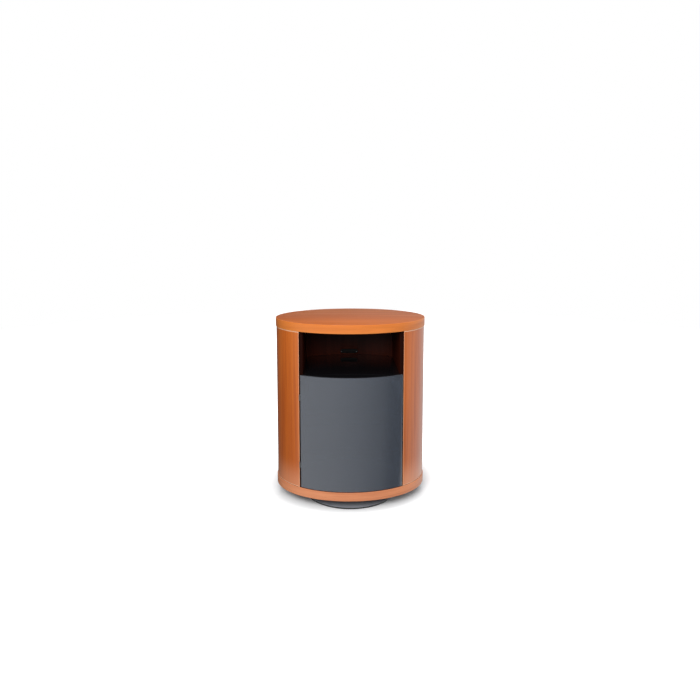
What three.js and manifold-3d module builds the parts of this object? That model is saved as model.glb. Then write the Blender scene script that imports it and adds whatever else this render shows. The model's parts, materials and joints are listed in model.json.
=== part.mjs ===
// A drum-shaped revolving television cabinet, in millimetres, +Z up, its front towards -Y.
// The origin is on the floor, at the centre of the plan. The drum is an ellipse in plan, and it
// turns on a round base. A curved glass door hangs at the left of its front.

import * as THREE from 'three';
import { mergeVertices } from 'three/addons/utils/BufferGeometryUtils.js';
import Module from 'manifold-3d';

const wasm = await Module();
wasm.setup();

// ---- Driving dimensions ----

const GAP = 0.3; // between pieces that touch
const ARC_STEP = THREE.MathUtils.degToRad(3.75); // one facet of an elliptical curve

const HALF_WIDTH = 355.5; // half axes of the two end discs
const HALF_DEPTH = 254;
const TOP = 860;
const DRUM_BOTTOM = 55; // underside of the bottom disc, above the floor
const DISC = 40; // thickness of an end disc
const RIM_BAND = 3; // the lipping round a disc
const DISC_OVERHANG = 3; // from the side panels to the disc's rim

const PANEL = 22; // moulded plywood of the side panels
const PANEL_ROUNDING = 6; // on their upright edges
const OPENING_HALF = 236; // half width of the front and back openings
const WALL_INSIDE = 220.5; // x of the inner walls' inside faces
const WALL_FRONT = -173.6;
const FORMER = { top: 467, thickness: 18 }; // the board that holds a side panel's curve

const GLASS = 6;
const DOOR_GAP = 2; // above and below the door
const HINGE_SIDE_GAP = 4;
const FREE_SIDE_GAP = 3;
const SHELF_TOP = 622; // the fixed shelf under the open bay
const SHELF = 18;

const LOOSE_SHELF_TOPS = [262, 436];
const LOOSE_SHELF = 16;
const LOOSE_SHELF_HALF_WIDTH = 219;
const LOOSE_SHELF_FRONT = -150;
const LOOSE_SHELF_BACK = 150;
const PIN_Y = 110; // the shelf pins' distance in front of and behind the centre
const PIN_RADIUS = 2.4;
const PIN_LENGTH = 15;
const PIN_HOLE = { radius: 2.7, depth: 9, pitch: 32, spare: 1 };

const BACK_PANEL = 12;
const BACK_GAP = 3; // beside the back panel
const BACK_SLOT = { width: 160, height: 9, pitch: 22, rows: 3, levels: [140, 470] };
const CABLE_PORTS = [ // slots with round ends, behind the component bay and the open bay
  { width: 60, height: 60, z: 330 },
  { width: 90, height: 22, z: 638 },
];
const GROMMET = { wall: 2.5, flange: 4, flangeHeight: 2, membrane: 1.2, slit: 1 };
const BACK_SCREW = { x: 225.5, seat: 186.3, tip: 155, head: 4, shank: 2, levels: [120, 795] };

const HINGE_AXIS = { x: -235.3, y: -186.6 };
const HINGE_LEVELS = [189, 504]; // undersides of the two hinges
const HINGE_HEIGHT = 26;
const KNUCKLE_RADIUS = 3;
const KNUCKLE_HEIGHT = 8; // of the cabinet's knuckle at each end of a hinge
const HINGE_PIN_RADIUS = 1.5;
const LEAF = { thickness: 2, wallRight: -221.5, glassRight: -200.5, padLeft: -230.9, strapLeft: -233.5 };
const DOOR_STRAP = { left: -234.4, back: -179.6 };
const HINGE_SCREW = { x: -227, inset: 6, hole: 1.8, head: 3, shank: 1.5, length: 15 };

const LATCH = { x: 199.5, z: 595.5, half: 8, front: -182.8, back: -127.8, bore: 4.3 };
const PLUNGER = { radius: 4, back: -152.8, travel: 3 }; // the door is pressed in by the travel
const STRIKE = { back: -190.8, half: 9, height: 14 };
const BUMPER = { x: 225.5, radius: 4, length: 7, levels: [150, 560] };

const BASE_RADIUS = 222;
const FOOT = { radius: 13, height: 4, ring: 191, count: 5 };
const BASE_PLATE = { radius: 214, thickness: 5 };
const BASE_COVER = { wall: 2, lip: 3, rim: 11, shoulder: 130, crown: 30, bore: 102 };
const HUB = { radius: 100, top: 41.7 };
const BEARING_PLATE = { outer: 98, inner: 62, thickness: 2.6 };
const BALL = { radius: 3.5, ring: 82, count: 12 };
const BOLT = { radius: 8, head: 13, headHeight: 8, bottom: 14, washer: 2.5 };
const BUSH_WALL = 4;
const COUNTERBORE = { radius: 21, depth: 17, cover: 2 };

// ---- Materials ----

const material = (color, roughness, metalness = 0, extra = {}) =>
  new THREE.MeshStandardMaterial({ color, roughness, metalness, ...extra });

const CHERRY = material(0xb5622f, 0.38);
const DARK_CHERRY = material(0x4a1a12, 0.5);
const PLYWOOD = material(0xc9a877, 0.7);
const BLACK_LACQUER = material(0x0b0b0d, 0.08);
const SMOKED_GLASS = material(0x5c6068, 0.08, 0, { transparent: true, opacity: 0.8 });
const BASE_PAINT = material(0x5c5d60, 0.45, 0.2);
const STEEL = material(0x9a9da1, 0.35, 1);
const NICKEL = material(0xb4b6b8, 0.25, 1);
const BLACK_PLASTIC = material(0x161617, 0.5);
const RUBBER = material(0x1b1b1b, 0.85);

// ---- Geometry helpers ----

// The drum's skin in plan, or the ellipse that lies inset from it.
const skin = (inset = 0) => ({
  a: HALF_WIDTH - DISC_OVERHANG - inset,
  b: HALF_DEPTH - DISC_OVERHANG - inset,
});

const depthAt = ({ a, b }, x) => b * Math.sqrt(1 - (x / a) ** 2);

// Points of an ellipse, counterclockwise from one ellipse angle to another.
function arc({ a, b }, from, to) {
  const steps = Math.max(2, Math.ceil((to - from) / ARC_STEP));
  return Array.from({ length: steps + 1 }, (_, i) => {
    const angle = from + ((to - from) * i) / steps;
    return new THREE.Vector2(a * Math.cos(angle), b * Math.sin(angle));
  });
}

const frontArc = (e, left, right) => arc(e, -Math.acos(left / e.a), -Math.acos(right / e.a));
const backArc = (e, right, left) => arc(e, Math.acos(right / e.a), Math.acos(left / e.a));
const fullArc = (e) => arc(e, 0, 2 * Math.PI).slice(0, -1);

// A corner rounded by a curve that starts and ends a given way along its two sides.
function rounded(before, corner, after, size) {
  const start = corner.clone().lerp(before, size / corner.distanceTo(before));
  const end = corner.clone().lerp(after, size / corner.distanceTo(after));
  return new THREE.QuadraticBezierCurve(start, corner, end).getPoints(4);
}

// A slot with round ends, lying about the origin and grown all round by a margin.
function slotOutline(width, height, margin = 0) {
  const radius = height / 2;
  const reach = width / 2 - radius;
  const end = (centre, from) => {
    const curve = new THREE.EllipseCurve(centre, 0, radius + margin, radius + margin, from, from + Math.PI);
    return curve.getPoints(12);
  };
  const points = [...end(reach, -Math.PI / 2), ...end(-reach, Math.PI / 2)];
  return points.filter((point, i) => point.distanceTo(points.at(i - 1)) > GAP);
}

// A shape drawn in plan, stood up at a level so that it runs along Y from one depth to another.
const alongY = (outline, z, from, to, holes = []) =>
  prism(outline, 0, to - from, holes).rotateX(-Math.PI / 2).translate(0, from, z);

// An outline raised from one level by a height.
function prism(outline, bottom, height, holes = []) {
  const shape = new THREE.Shape(outline);
  for (const hole of holes) shape.holes.push(new THREE.Path(hole));
  const geometry = new THREE.ExtrudeGeometry(shape, { depth: height, bevelEnabled: false });
  return geometry.translate(0, 0, bottom);
}

// A profile of [radius, height] points turned about the vertical through the origin.
function turned(profile, sides) {
  const points = profile.map(([radius, height]) => new THREE.Vector2(radius, height));
  return new THREE.LatheGeometry(points, sides).rotateX(Math.PI / 2);
}

// A ring of rectangular section.
const ring = (inner, outer, bottom, top, sides) =>
  turned([[inner, bottom], [outer, bottom], [outer, top], [inner, top], [inner, bottom]], sides);

// A cylinder between two points.
function rod(from, to, radius, sides = 20) {
  const start = new THREE.Vector3(...from);
  const along = new THREE.Vector3(...to).sub(start);
  const geometry = new THREE.CylinderGeometry(radius, radius, along.length(), sides);
  const turn = new THREE.Quaternion();
  turn.setFromUnitVectors(new THREE.Vector3(0, 1, 0), along.clone().normalize());
  const middle = start.addScaledVector(along, 0.5);
  return geometry.applyQuaternion(turn).translate(middle.x, middle.y, middle.z);
}

// A block between two opposite corners.
function block(low, high) {
  const [x, y, z] = high.map((value, i) => value - low[i]);
  const centre = high.map((value, i) => (value + low[i]) / 2);
  return new THREE.BoxGeometry(x, y, z).translate(...centre);
}

function solidOf(geometry) {
  const bare = geometry.clone();
  bare.deleteAttribute('normal');
  bare.deleteAttribute('uv');
  const welded = mergeVertices(bare, 1e-3);
  const vertProperties = new Float32Array(welded.attributes.position.array);
  const triVerts = new Uint32Array(welded.index.array);
  return new wasm.Manifold(new wasm.Mesh({ numProp: 3, vertProperties, triVerts }));
}

function geometryOf(solid) {
  const { vertProperties, triVerts } = solid.getMesh();
  const geometry = new THREE.BufferGeometry();
  geometry.setAttribute('position', new THREE.BufferAttribute(vertProperties, 3));
  geometry.setIndex(new THREE.BufferAttribute(triVerts, 1));
  geometry.computeVertexNormals();
  return geometry;
}

const cut = (geometry, tools) =>
  geometryOf(tools.reduce((solid, tool) => solid.subtract(solidOf(tool)), solidOf(geometry)));

const join = (first, ...others) =>
  geometryOf(others.reduce((solid, other) => solid.add(solidOf(other)), solidOf(first)));

const cabinet = new THREE.Group();

function add(name, geometry, finish) {
  const mesh = new THREE.Mesh(geometry, finish);
  mesh.name = name;
  cabinet.add(mesh);
}

const floorOfBays = DRUM_BOTTOM + DISC;
const ceiling = TOP - DISC;

// ---- The base: plate, cover, feet, hub and bearing ----

function addFeet() {
  for (let i = 0; i < FOOT.count; i++) {
    const angle = (2 * Math.PI * i) / FOOT.count;
    const [x, y] = [FOOT.ring * Math.cos(angle), FOOT.ring * Math.sin(angle)];
    add(`foot_pad_${i + 1}`, rod([x, y, 0], [x, y, FOOT.height], FOOT.radius, 24), RUBBER);
  }
}

// A spun steel saucer, open below, with a rounded shoulder over its upright rim.
function coverProfile() {
  const { wall, lip, rim, shoulder, crown, bore } = BASE_COVER;
  return [
    [BASE_RADIUS - wall, lip],
    [BASE_RADIUS, lip],
    [BASE_RADIUS, rim - 2],
    [BASE_RADIUS - 1, rim - 0.5],
    [BASE_RADIUS - 3, rim + 0.3],
    [shoulder, crown],
    [bore, crown],
    [bore, crown - wall],
    [shoulder, crown - wall],
    [BASE_RADIUS - 4, rim - wall],
    [BASE_RADIUS - wall, rim - wall - 1.5],
    [BASE_RADIUS - wall, lip],
  ];
}

function addBase() {
  const plateBottom = FOOT.height + GAP;
  const plateTop = plateBottom + BASE_PLATE.thickness;
  addFeet();
  add('base_plate', turned([[0, plateBottom], [BASE_PLATE.radius, plateBottom],
    [BASE_PLATE.radius, plateTop - 1], [BASE_PLATE.radius - 3, plateTop], [0, plateTop]], 48), STEEL);
  add('base_cover', turned(coverProfile(), 64), BASE_PAINT);
  const hub = turned([[0, plateTop + GAP], [HUB.radius, plateTop + GAP],
    [HUB.radius, HUB.top], [0, HUB.top]], 48);
  const boltHole = rod([0, 0, BOLT.bottom - 2], [0, 0, HUB.top + 1], BOLT.radius + GAP, 32);
  add('base_hub', cut(hub, [boltHole]), PLYWOOD);
}

// The balls sit half sunk in one pressed cage.
function ballCage(middle) {
  const cage = ring(BALL.ring - 8, BALL.ring + 8, middle - 0.6, middle + 0.6, 36);
  const balls = Array.from({ length: BALL.count }, (_, i) => {
    const angle = (2 * Math.PI * i) / BALL.count;
    const ball = new THREE.IcosahedronGeometry(BALL.radius, 1);
    return ball.translate(BALL.ring * Math.cos(angle), BALL.ring * Math.sin(angle), middle);
  });
  return join(cage, ...balls);
}

function addBearing() {
  const { outer, inner, thickness } = BEARING_PLATE;
  const lower = HUB.top + GAP;
  const upper = DRUM_BOTTOM - GAP - thickness;
  add('bearing_lower_plate', ring(inner, outer, lower, lower + thickness, 36), STEEL);
  add('bearing_ball_cage', ballCage((lower + thickness + upper) / 2), STEEL);
  add('bearing_upper_plate', ring(inner, outer, upper, upper + thickness, 36), STEEL);
}

// The bolt runs down through the bottom disc into the hub, and the drum turns round it.
function addPivot() {
  const seat = floorOfBays - COUNTERBORE.depth;
  const washerTop = seat + GAP + BOLT.washer;
  const inner = BOLT.radius + GAP;
  const bushOuter = BOLT.radius + BUSH_WALL;
  add('pivot_bush', ring(inner, bushOuter, DRUM_BOTTOM + 2, seat, 32), BLACK_PLASTIC);
  add('pivot_washer', ring(inner, COUNTERBORE.radius - 2, seat + GAP, washerTop, 32), STEEL);
  const headBottom = washerTop + GAP;
  const shank = rod([0, 0, BOLT.bottom], [0, 0, headBottom + 1], BOLT.radius, 32);
  const head = rod([0, 0, headBottom], [0, 0, headBottom + BOLT.headHeight], BOLT.head, 6);
  add('pivot_bolt', join(shank, head), STEEL);
  const coverBottom = floorOfBays - COUNTERBORE.cover;
  add('pivot_cover', turned([[0, coverBottom], [COUNTERBORE.radius - GAP, coverBottom],
    [COUNTERBORE.radius - GAP, floorOfBays], [0, floorOfBays]], 32), BLACK_PLASTIC);
}

// ---- The drum ----

function addDisc(name, bottom, holes) {
  const rim = { a: HALF_WIDTH, b: HALF_DEPTH };
  const within = (inset) => fullArc({ a: rim.a - inset, b: rim.b - inset });
  add(`${name}_rim_band`, prism(fullArc(rim), bottom, DISC, [within(RIM_BAND)]), CHERRY);
  const board = prism(within(RIM_BAND + GAP), bottom, DISC);
  add(`${name}_disc`, holes.length ? cut(board, holes) : board, CHERRY);
}

function addDiscs() {
  const seat = floorOfBays - COUNTERBORE.depth;
  const boreRadius = BOLT.radius + BUSH_WALL + GAP;
  const bore = rod([0, 0, DRUM_BOTTOM - 1], [0, 0, seat + 1], boreRadius, 32);
  const counterbore = rod([0, 0, seat], [0, 0, floorOfBays + 1], COUNTERBORE.radius, 32);
  addDisc('bottom', DRUM_BOTTOM, [bore, counterbore]);
  addDisc('top', ceiling, []);
}

// Half of the drum's skin, between the front and back openings, on the side that sign gives.
function panelOutline(sign) {
  const outer = skin();
  const inner = skin(PANEL);
  const outside = arc(outer, -Math.acos(OPENING_HALF / outer.a), Math.acos(OPENING_HALF / outer.a));
  const inside = arc(inner, -Math.acos(OPENING_HALF / inner.a), Math.acos(OPENING_HALF / inner.a));
  const [front, back] = [outside[0], outside.at(-1)];
  const frontEdge = rounded(inside[0], front, outside[1], PANEL_ROUNDING);
  const backEdge = rounded(outside.at(-2), back, inside.at(-1), PANEL_ROUNDING);
  const points = [...frontEdge, ...outside.slice(1, -1), ...backEdge, ...inside.reverse()];
  return sign > 0 ? points : points.map(({ x, y }) => new THREE.Vector2(-x, y)).reverse();
}

function addSidePanels() {
  const bottom = floorOfBays + GAP;
  const height = ceiling - floorOfBays - 2 * GAP;
  const { x, y } = HINGE_AXIS;
  const reach = KNUCKLE_RADIUS + 1;
  const notches = HINGE_LEVELS.map((level) =>
    block([x - reach, y - 6, level - 2], [x + reach, y + reach, level + HINGE_HEIGHT + 2]));
  add('left_side_panel', cut(prism(panelOutline(-1), bottom, height), notches), CHERRY);
  add('right_side_panel', prism(panelOutline(1), bottom, height), CHERRY);
}

// A D-shaped board holds each side panel's curve off its inner wall, half way up.
function addFormers() {
  const e = skin(PANEL + GAP);
  const edge = OPENING_HALF + GAP;
  const right = arc(e, -Math.acos(edge / e.a), Math.acos(edge / e.a));
  const left = right.map(({ x, y }) => new THREE.Vector2(-x, y)).reverse();
  const bottom = FORMER.top - FORMER.thickness;
  add('left_former', prism(left, bottom, FORMER.thickness), PLYWOOD);
  add('right_former', prism(right, bottom, FORMER.thickness), PLYWOOD);
}

const pinLevel = (shelfTop) => shelfTop - LOOSE_SHELF - GAP - PIN_RADIUS;

// The rows of blind holes for shelf pins, and the hinge and back screws' holes, in one wall.
function wallHoles(sign) {
  const holes = [];
  const face = sign * WALL_INSIDE;
  const { radius, depth, pitch, spare } = PIN_HOLE;
  for (const shelfTop of LOOSE_SHELF_TOPS)
    for (const y of [-PIN_Y, PIN_Y])
      for (let k = -spare; k <= spare; k++) {
        const z = pinLevel(shelfTop) + k * pitch;
        holes.push(rod([face - sign, y, z], [face + sign * depth, y, z], radius, 10));
      }
  const { x, seat, tip, shank, levels } = BACK_SCREW;
  for (const z of levels)
    holes.push(rod([sign * x, tip - 3, z], [sign * x, seat, z], shank + GAP, 10));
  if (sign < 0)
    for (const [x, z] of hingeScrews())
      holes.push(rod([x, WALL_FRONT - 1, z], [x, WALL_FRONT + 18, z], HINGE_SCREW.hole, 10));
  return holes;
}

// A flat wall closes each side panel's hollow. Its back edge is bevelled to the back panel.
function addInnerWalls() {
  const [near, far] = [WALL_INSIDE, OPENING_HALF - GAP];
  const curve = skin(BACK_PANEL + 2 * GAP);
  const right = [[near, WALL_FRONT], [far, WALL_FRONT], [far, depthAt(curve, far)],
    [near, depthAt(curve, near)]].map(([x, y]) => new THREE.Vector2(x, y));
  const left = right.map(({ x, y }) => new THREE.Vector2(-x, y)).reverse();
  const bottom = floorOfBays + GAP;
  const height = ceiling - floorOfBays - 2 * GAP;
  add('right_inner_wall', cut(prism(right, bottom, height), wallHoles(1)), DARK_CHERRY);
  add('left_inner_wall', cut(prism(left, bottom, height), wallHoles(-1)), DARK_CHERRY);
}

// The back panel follows the drum's curve and is held by screws into the inner walls.
function addBackPanel() {
  const outer = skin();
  const inner = skin(BACK_PANEL);
  const edge = OPENING_HALF - BACK_GAP;
  const outline = [...backArc(outer, edge, -edge), ...backArc(inner, edge, -edge).reverse()];
  const bottom = floorOfBays + DOOR_GAP;
  const panel = prism(outline, bottom, ceiling - floorOfBays - 2 * DOOR_GAP);
  const tools = [];
  const { width, height, pitch, rows, levels } = BACK_SLOT;
  for (const level of levels)
    for (let row = 0; row < rows; row++) {
      const z = level + row * pitch;
      tools.push(block([-width / 2, inner.b - 30, z], [width / 2, outer.b + 5, z + height]));
    }
  for (const { width: portWidth, height: portHeight, z } of CABLE_PORTS)
    tools.push(alongY(slotOutline(portWidth, portHeight), z, inner.b - 30, outer.b + 5));
  for (const sign of [-1, 1])
    for (const z of BACK_SCREW.levels) {
      const [x, { seat, head, shank }] = [sign * BACK_SCREW.x, BACK_SCREW];
      tools.push(rod([x, seat - 20, z], [x, seat + 1, z], shank + GAP, 10));
      tools.push(rod([x, seat, z], [x, outer.b, z], head + 2 * GAP, 16));
    }
  add('back_panel', cut(panel, tools), CHERRY);
}

// A rubber sleeve in each cable port, with a flange that covers the port's edge outside, and a
// thin membrane across its outer end with a slit that cables are pushed through.
function addGrommets() {
  const { wall, flange, flangeHeight, membrane, slit } = GROMMET;
  const outside = skin().b + GAP;
  CABLE_PORTS.forEach(({ width, height, z }, i) => {
    const inside = depthAt(skin(BACK_PANEL), width / 2) - 2;
    const outer = outside + flangeHeight;
    const bore = slotOutline(width, height, -GAP - wall);
    const sleeve = alongY(slotOutline(width, height, -GAP), z, inside, outside + 1, [bore]);
    const rim = alongY(slotOutline(width, height, flange), z, outside, outer, [bore]);
    const web = alongY(slotOutline(width, height, -GAP - 1), z, outer - membrane, outer);
    const half = (width - 2 * wall) / 2 - 4;
    const gash = block([-half, outside, z - slit / 2], [half, outer + 1, z + slit / 2]);
    add(`cable_grommet_${i + 1}`, cut(join(sleeve, rim, web), [gash]), RUBBER);
  });
}

// A screw along Y: its head's underside at one depth, its shank running towards the other.
function screwAlongY(x, z, headAt, tip, headRadius, shankRadius) {
  const way = Math.sign(headAt - tip);
  const head = rod([x, headAt, z], [x, headAt + way * 1.6, z], headRadius, 16);
  const shank = rod([x, tip, z], [x, headAt + way * 0.8, z], shankRadius, 12);
  return join(head, shank);
}

function addBackScrews() {
  const { x, seat, tip, head, shank, levels } = BACK_SCREW;
  let number = 0;
  for (const sign of [-1, 1])
    for (const z of levels) {
      number += 1;
      const screw = screwAlongY(sign * x, z, seat + GAP, tip, head, shank);
      add(`back_screw_${number}`, screw, NICKEL);
    }
}

// ---- Shelves ----

function addFixedShelf() {
  const front = skin(GLASS + 3);
  const back = skin(BACK_PANEL + GAP);
  const edge = WALL_INSIDE - GAP;
  const outline = [...frontArc(front, -edge, edge), ...backArc(back, edge, -edge)];
  add('speaker_shelf', prism(outline, SHELF_TOP - SHELF, SHELF), BLACK_LACQUER);
}

function addLooseShelves() {
  LOOSE_SHELF_TOPS.forEach((top, i) => {
    const low = [-LOOSE_SHELF_HALF_WIDTH, LOOSE_SHELF_FRONT, top - LOOSE_SHELF];
    const high = [LOOSE_SHELF_HALF_WIDTH, LOOSE_SHELF_BACK, top];
    add(`loose_shelf_${i + 1}`, block(low, high), DARK_CHERRY);
  });
  let number = 0;
  for (const top of LOOSE_SHELF_TOPS)
    for (const sign of [-1, 1])
      for (const y of [-PIN_Y, PIN_Y]) {
        number += 1;
        const z = pinLevel(top);
        const inWall = sign * (WALL_INSIDE + PIN_HOLE.depth - 1);
        const pin = rod([inWall, y, z], [inWall - sign * PIN_LENGTH, y, z], PIN_RADIUS, 12);
        add(`shelf_pin_${number}`, pin, STEEL);
      }
}

// ---- Door, hinges and latch ----

function addDoorGlass() {
  const outer = skin();
  const inner = skin(GLASS);
  const left = -OPENING_HALF + HINGE_SIDE_GAP;
  const right = OPENING_HALF - FREE_SIDE_GAP;
  const outline = [...frontArc(outer, left, right), ...frontArc(inner, left, right).reverse()];
  const bottom = floorOfBays + DOOR_GAP;
  add('door_glass', prism(outline, bottom, SHELF_TOP - bottom), SMOKED_GLASS);
}

// The x and z of the screws that hold the hinges' cabinet leaves.
function hingeScrews() {
  const { x, inset } = HINGE_SCREW;
  return HINGE_LEVELS.flatMap((level) => [[x, level + inset], [x, level + HINGE_HEIGHT - inset]]);
}

// A knuckle with a strap that reaches back from it through the gap beside the door.
function knuckle(bottom, height, strapLeft, strapBack) {
  const { x, y } = HINGE_AXIS;
  const barrel = rod([x, y, bottom], [x, y, bottom + height], KNUCKLE_RADIUS, 16);
  const low = [strapLeft, y + 1, bottom];
  return join(barrel, block(low, [strapLeft + LEAF.thickness, strapBack, bottom + height]));
}

// The cabinet's leaf lies on the front edge of the left inner wall.
function cabinetLeaf(level, bore) {
  const strapLeft = -OPENING_HALF + GAP;
  const back = WALL_FRONT - GAP;
  const top = level + HINGE_HEIGHT;
  const plate = block([strapLeft, back - LEAF.thickness, level], [LEAF.wallRight, back, top]);
  const holes = hingeScrews()
    .filter(([, z]) => z > level && z < top)
    .map(([x, z]) => rod([x, back - 5, z], [x, back + 1, z], HINGE_SCREW.hole, 10));
  const lower = knuckle(level, KNUCKLE_HEIGHT, strapLeft, back);
  const upper = knuckle(top - KNUCKLE_HEIGHT, KNUCKLE_HEIGHT, strapLeft, back);
  return cut(join(plate, lower, upper), [bore, ...holes]);
}

// The door's leaf is bonded to the inside of the glass and follows its curve.
function doorLeaf(level, bore) {
  const near = skin(GLASS + GAP);
  const far = skin(GLASS + GAP + LEAF.thickness);
  const curved = (left) =>
    [...frontArc(near, left, LEAF.glassRight), ...frontArc(far, left, LEAF.glassRight).reverse()];
  const low = level + KNUCKLE_HEIGHT + GAP;
  const height = HINGE_HEIGHT - 2 * (KNUCKLE_HEIGHT + GAP);
  const leaf = join(
    knuckle(low, height, DOOR_STRAP.left, DOOR_STRAP.back),
    prism(curved(LEAF.strapLeft), low, height),
    prism(curved(LEAF.padLeft), level, HINGE_HEIGHT),
  );
  return cut(leaf, [bore]);
}

function hingePin(level) {
  const { x, y } = HINGE_AXIS;
  const bottom = level - 1;
  const headBottom = level + HINGE_HEIGHT + GAP;
  const shank = rod([x, y, bottom], [x, y, headBottom + 0.5], HINGE_PIN_RADIUS, 16);
  return join(shank, rod([x, y, headBottom], [x, y, headBottom + 1], HINGE_PIN_RADIUS + 1, 16));
}

function addHinges() {
  const { x, y } = HINGE_AXIS;
  HINGE_LEVELS.forEach((level, i) => {
    const place = ['lower', 'upper'][i];
    const top = level + HINGE_HEIGHT + 1;
    const bore = rod([x, y, level - 1], [x, y, top], HINGE_PIN_RADIUS + GAP, 16);
    add(`${place}_hinge_cabinet_leaf`, cabinetLeaf(level, bore), NICKEL);
    add(`${place}_hinge_door_leaf`, doorLeaf(level, bore), NICKEL);
    add(`${place}_hinge_pin`, hingePin(level), NICKEL);
  });
  const { head, shank, length } = HINGE_SCREW;
  hingeScrews().forEach(([screwX, z], i) => {
    const headAt = WALL_FRONT - 2 * GAP - LEAF.thickness;
    const screw = screwAlongY(screwX, z, headAt, WALL_FRONT + length, head, shank);
    add(`hinge_screw_${i + 1}`, screw, NICKEL);
  });
}

// The touch latch hangs under the fixed shelf. Its plunger meets a strike bonded to the glass.
function addLatch() {
  const { x, z, half, front, back, bore } = LATCH;
  const top = SHELF_TOP - SHELF - GAP;
  const body = block([x - half, front, z - half], [x + half, back, top]);
  const hole = rod([x, front - 1, z], [x, PLUNGER.back + PLUNGER.travel + 2, z], bore, 24);
  add('latch_body', cut(body, [hole]), BLACK_PLASTIC);
  const tip = STRIKE.back + GAP;
  add('latch_plunger', rod([x, tip, z], [x, PLUNGER.back, z], PLUNGER.radius, 24), BLACK_PLASTIC);
  const [left, right] = [x - STRIKE.half, x + STRIKE.half];
  const glassSide = frontArc(skin(GLASS + GAP), left, right);
  const flat = [new THREE.Vector2(right, STRIKE.back), new THREE.Vector2(left, STRIKE.back)];
  const strike = prism([...glassSide, ...flat], z - STRIKE.height / 2, STRIKE.height);
  add('latch_strike', strike, NICKEL);
}

// Soft stops on the right inner wall's front edge.
function addBumpers() {
  const { x, radius, length, levels } = BUMPER;
  levels.forEach((z, i) => {
    const stub = rod([x, WALL_FRONT - length, z], [x, WALL_FRONT - GAP, z], radius, 20);
    add(`door_bumper_${i + 1}`, stub, RUBBER);
  });
}

addBase();
addBearing();
addPivot();
addDiscs();
addSidePanels();
addFormers();
addInnerWalls();
addBackPanel();
addGrommets();
addBackScrews();
addFixedShelf();
addLooseShelves();
addDoorGlass();
addHinges();
addLatch();
addBumpers();

export default cabinet;
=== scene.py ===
"""A revolving television cabinet: veneered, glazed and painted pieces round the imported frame.

Lengths are in metres. The drum is an ellipse in plan, its front towards -Y.
"""

import json
import math

import bmesh
import bpy
from mathutils import Matrix, Vector


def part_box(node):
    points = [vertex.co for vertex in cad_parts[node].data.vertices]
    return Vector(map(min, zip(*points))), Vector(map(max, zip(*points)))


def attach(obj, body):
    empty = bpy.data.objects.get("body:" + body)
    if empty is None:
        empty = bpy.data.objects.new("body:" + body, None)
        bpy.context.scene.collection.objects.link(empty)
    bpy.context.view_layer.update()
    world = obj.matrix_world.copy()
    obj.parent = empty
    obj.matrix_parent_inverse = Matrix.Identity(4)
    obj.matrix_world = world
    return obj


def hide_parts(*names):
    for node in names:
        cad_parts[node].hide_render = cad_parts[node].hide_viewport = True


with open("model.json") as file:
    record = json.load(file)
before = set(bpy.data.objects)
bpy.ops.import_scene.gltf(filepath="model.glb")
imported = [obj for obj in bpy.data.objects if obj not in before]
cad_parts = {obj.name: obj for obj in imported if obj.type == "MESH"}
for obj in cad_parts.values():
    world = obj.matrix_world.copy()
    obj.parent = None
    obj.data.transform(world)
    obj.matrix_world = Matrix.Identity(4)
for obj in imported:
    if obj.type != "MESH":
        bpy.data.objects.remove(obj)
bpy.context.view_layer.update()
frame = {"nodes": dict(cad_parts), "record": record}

MM = 0.001
RING_STEPS = 240  # facets round a whole ellipse or circle
SHARP_ANGLE = math.radians(35)  # edges that turn by more than this stay crisp

# ---- Sizes read from the frame ----

rim_low, rim_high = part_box("top_rim_band")
RIM = (rim_high.x, rim_high.y)  # half axes of the end discs
glass_low, glass_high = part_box("door_glass")
panel_low, panel_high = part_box("right_side_panel")
SKIN = (panel_high.x, -glass_low.y)  # half axes of the drum's skin
OPENING = panel_low.x  # half width of the front and back openings
FLOOR_OF_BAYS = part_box("bottom_disc")[1].z

PANEL_THICKNESS = 22 * MM
GLASS_THICKNESS = 6 * MM
BACK_THICKNESS = 12 * MM
LIPPING = 3 * MM
GROMMET_FLANGE = 4 * MM
FIT = 0.3 * MM  # gap between pieces that fit together
PANEL_EDGE = 6 * MM  # rounding of a side panel's upright outer edges
SCREW_SHANK = {1: 2 * MM, -1: 1.5 * MM}  # radii of the back's screws and the hinges' screws
SCREW_HEAD = 1.6 * MM  # height of a screw's head
SCREW_SEAT = {"depth": 1.9 * MM, "radius": 4.6 * MM, "hole": 2.3 * MM}  # in the back panel
PIN_HOLE = {"radius": 2.7 * MM, "depth": 9 * MM, "pitch": 32 * MM}
HINGE = {"knuckle": 3 * MM, "knuckle_height": 8 * MM, "bore": 1.8 * MM, "leaf": 2 * MM}
SAUCER = {"wall": 2 * MM, "rim": 8 * MM, "roll": 2.5 * MM, "shoulder": 130 * MM, "bore": 102 * MM}
BOLT_BORE = 8.3 * MM
BEARING_BORE = 62 * MM

# ---- Studio ----

FLOOR_RADIUS = 6.0
FLOOR_FADE = (0.3, 0.47)  # radii between which the floor turns into the white backdrop
SHADE_CENTRE = (0.01, 0.12, 0)  # the middle of the floor's shaded patch
SHADE_SCALE = (0.86, 1.03, 1)  # makes the patch wider than it is deep
CARD = ((0.2, 0.38), (0.5, 1.1))  # radii between which the card under the floor fades in, and out
CARD_GLOW = 0.55
AIR = (  # brightness of the surroundings at bearings in degrees, 0 in front and 90 on the right
    (-180, 0.22), (-150, 0.08), (-85, 0.06), (-68, 0.55), (-35, 0.52), (0, 0.4),
    (35, 0.22), (66, 0.08), (84, 0.8), (125, 0.85), (160, 0.4), (180, 0.22),
)
SOFT_BOXES = {  # place, size and power
    "key": ((-0.5, -3.2, 2.3), (1.8, 1.6), 108),
    "side": ((2.8, -1.6, 1.5), (1.0, 1.8), 8),
    "top": ((0.2, 0.1, 3.4), (2.4, 2.4), 22),
    "rear": ((0.0, 3.4, 2.2), (2.0, 1.6), 45),
}
SOFT_BOX_AIM = (0, 0, 0.45)

# ---- View ----

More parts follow.
